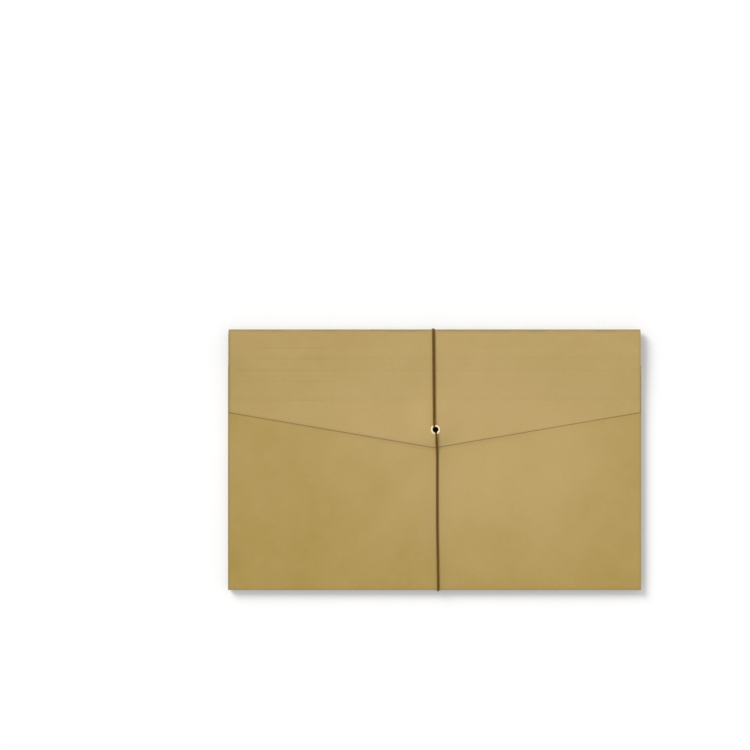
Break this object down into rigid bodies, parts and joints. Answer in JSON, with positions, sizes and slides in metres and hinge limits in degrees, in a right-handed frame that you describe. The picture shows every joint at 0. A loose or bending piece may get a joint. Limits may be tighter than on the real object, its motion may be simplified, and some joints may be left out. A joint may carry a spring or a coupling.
{
  "type": "expanding envelope",
  "caption": "Landscape kraft-card document envelope with pleated gussets that expand, a shallow V flap with an eyelet, and an elastic cord loop round it.",
  "frame": {"origin": "centre of the bounding box's bottom, on the surface that the envelope lies on", "axes": "+X to the right along the width, +Y towards the top fold, +Z out of the front"},
  "size_m": [0.381, 0.2449, 0.0134],
  "materials": {
    "kraft_card": "matt kraft",
    "kraft_flap": "matt kraft",
    "kraft_gusset": "matt kraft",
    "elastic_cord": "knitted elastic",
    "nickel": "nickel plated"
  },
  "bodies": {
    "back": {"back_panel": "kraft_card", "left_back_tab": "kraft_gusset", "right_back_tab": "kraft_gusset", "bottom_back_tab": "kraft_gusset"},
    "front": {"front_panel": "kraft_card", "left_front_tab": "kraft_gusset", "right_front_tab": "kraft_gusset", "bottom_front_tab": "kraft_gusset"},
    "flap_fold": {"flap_fold": "kraft_flap", "cord_back": "elastic_cord", "cord_top": "elastic_cord", "cord_bottom_back": "elastic_cord"},
    "flap_spine": {"flap_spine": "kraft_flap", "cord_spine": "elastic_cord"},
    "flap_face": {"flap_face": "kraft_flap", "eyelet": "nickel", "eyelet_washer": "nickel", "cord_crimp": "nickel", "cord_flap": "elastic_cord", "cord_stub": "elastic_cord"},
    "cord_front": {"cord_front_run": "elastic_cord", "cord_bottom_front": "elastic_cord"},
    "cord_link": {"cord_bottom_link": "elastic_cord"},
    "left_pleat_1": {"left_pleat_1": "kraft_gusset"},
    "left_pleat_2": {"left_pleat_2": "kraft_gusset"},
    "left_pleat_3": {"left_pleat_3": "kraft_gusset"},
    "left_pleat_4": {"left_pleat_4": "kraft_gusset"},
    "right_pleat_1": {"right_pleat_1": "kraft_gusset"},
    "right_pleat_2": {"right_pleat_2": "kraft_gusset"},
    "right_pleat_3": {"right_pleat_3": "kraft_gusset"},
    "right_pleat_4": {"right_pleat_4": "kraft_gusset"},
    "bottom_pleat_1": {"bottom_pleat_1": "kraft_gusset"},
    "bottom_pleat_2": {"bottom_pleat_2": "kraft_gusset"},
    "bottom_pleat_3": {"bottom_pleat_3": "kraft_gusset"},
    "bottom_pleat_4": {"bottom_pleat_4": "kraft_gusset"}
  },
  "joints": [
    {"name": "flap_open", "type": "hinge", "parent": "back", "child": "flap_fold", "pos_m": [0, 0.116, 0.0065], "axis": [-1, 0, 0], "range_deg": [0, 179], "deforming": ["cord_back", "cord_top", "cord_bottom_back", "cord_bottom_link", "cord_front_run", "cord_bottom_front", "cord_stub", "cord_flap", "cord_spine", "flap_fold"]},
    {"name": "expand", "type": "slide", "parent": "back", "child": "front", "axis": [0, 0, -1], "range_m": [-0.038, 0], "deforming": ["cord_back", "cord_top", "cord_bottom_back", "cord_bottom_link", "cord_front_run", "cord_bottom_front", "cord_stub", "cord_flap", "cord_spine", "flap_fold"]},
    {"name": "spine_lift", "type": "hinge", "parent": "flap_fold", "child": "flap_spine", "pos_m": [0, 0.116, 0.0065], "axis": [-1, 0, 0], "range_deg": [0, 67.6]},
    {"name": "face_level", "type": "hinge", "parent": "flap_spine", "child": "flap_face", "pos_m": [0, 0.0725, 0.01], "axis": [-1, 0, 0], "range_deg": [-67.6, 0]},
    {"name": "cord_rise", "type": "slide", "parent": "flap_fold", "child": "cord_front", "axis": [0, 0, 1], "range_m": [0, 0.038]},
    {"name": "link_turn", "type": "hinge", "parent": "flap_fold", "child": "cord_link", "pos_m": [0.0033, -0.1214, 0.0011], "axis": [1, 0, 0], "range_deg": [0, 90.2]},
    {"name": "left_fold_1", "type": "hinge", "parent": "back", "child": "left_pleat_1", "pos_m": [-0.1902, 0, 0.00373], "axis": [0, -1, 0], "range_deg": [0, 28.8]},
    {"name": "left_fold_2", "type": "hinge", "parent": "left_pleat_1", "child": "left_pleat_2", "pos_m": [-0.1702, 0, 0.00432], "axis": [0, -1, 0], "range_deg": [-57.3, 0]},
    {"name": "left_fold_3", "type": "hinge", "parent": "left_pleat_2", "child": "left_pleat_3", "pos_m": [-0.1902, 0, 0.00492], "axis": [0, -1, 0], "range_deg": [0, 57.3]},
    {"name": "left_fold_4", "type": "hinge", "parent": "left_pleat_3", "child": "left_pleat_4", "pos_m": [-0.1702, 0, 0.00553], "axis": [0, -1, 0], "range_deg": [-57.3, 0]},
    {"name": "right_fold_1", "type": "hinge", "parent": "back", "child": "right_pleat_1", "pos_m": [0.1902, 0, 0.00373], "axis": [0, 1, 0], "range_deg": [0, 28.8]},
    {"name": "right_fold_2", "type": "hinge", "parent": "right_pleat_1", "child": "right_pleat_2", "pos_m": [0.1702, 0, 0.00432], "axis": [0, 1, 0], "range_deg": [-57.3, 0]},
    {"name": "right_fold_3", "type": "hinge", "parent": "right_pleat_2", "child": "right_pleat_3", "pos_m": [0.1902, 0, 0.00492], "axis": [0, 1, 0], "range_deg": [0, 57.3]},
    {"name": "right_fold_4", "type": "hinge", "parent": "right_pleat_3", "child": "right_pleat_4", "pos_m": [0.1702, 0, 0.00553], "axis": [0, 1, 0], "range_deg": [-57.3, 0]},
    {"name": "bottom_fold_1", "type": "hinge", "parent": "back", "child": "bottom_pleat_1", "pos_m": [0, -0.1197, 0.00373], "axis": [1, 0, 0], "range_deg": [0, 28.8]},
    {"name": "bottom_fold_2", "type": "hinge", "parent": "bottom_pleat_1", "child": "bottom_pleat_2", "pos_m": [0, -0.0997, 0.00432], "axis": [1, 0, 0], "range_deg": [-57.3, 0]},
    {"name": "bottom_fold_3", "type": "hinge", "parent": "bottom_pleat_2", "child": "bottom_pleat_3", "pos_m": [0, -0.1197, 0.00492], "axis": [1, 0, 0], "range_deg": [0, 57.3]},
    {"name": "bottom_fold_4", "type": "hinge", "parent": "bottom_pleat_3", "child": "bottom_pleat_4", "pos_m": [0, -0.0997, 0.00553], "axis": [1, 0, 0], "range_deg": [-57.3, 0]}
  ],
  "couplings": [
    {"joint": "spine_lift", "follows": "expand", "rad_per_m": -30.948},
    {"joint": "face_level", "follows": "expand", "rad_per_m": 30.948},
    {"joint": "cord_rise", "follows": "expand", "ratio": -1},
    {"joint": "link_turn", "follows": "expand", "rad_per_m": -41.337},
    {"joint": "left_fold_1", "follows": "expand", "rad_per_m": -13.121},
    {"joint": "left_fold_2", "follows": "expand", "rad_per_m": 26.242},
    {"joint": "left_fold_3", "follows": "expand", "rad_per_m": -26.242},
    {"joint": "left_fold_4", "follows": "expand", "rad_per_m": 26.242},
    {"joint": "right_fold_1", "follows": "expand", "rad_per_m": -13.121},
    {"joint": "right_fold_2", "follows": "expand", "rad_per_m": 26.242},
    {"joint": "right_fold_3", "follows": "expand", "rad_per_m": -26.242},
    {"joint": "right_fold_4", "follows": "expand", "rad_per_m": 26.242},
    {"joint": "bottom_fold_1", "follows": "expand", "rad_per_m": -13.121},
    {"joint": "bottom_fold_2", "follows": "expand", "rad_per_m": 26.242},
    {"joint": "bottom_fold_3", "follows": "expand", "rad_per_m": -26.242},
    {"joint": "bottom_fold_4", "follows": "expand", "rad_per_m": 26.242}
  ]
}
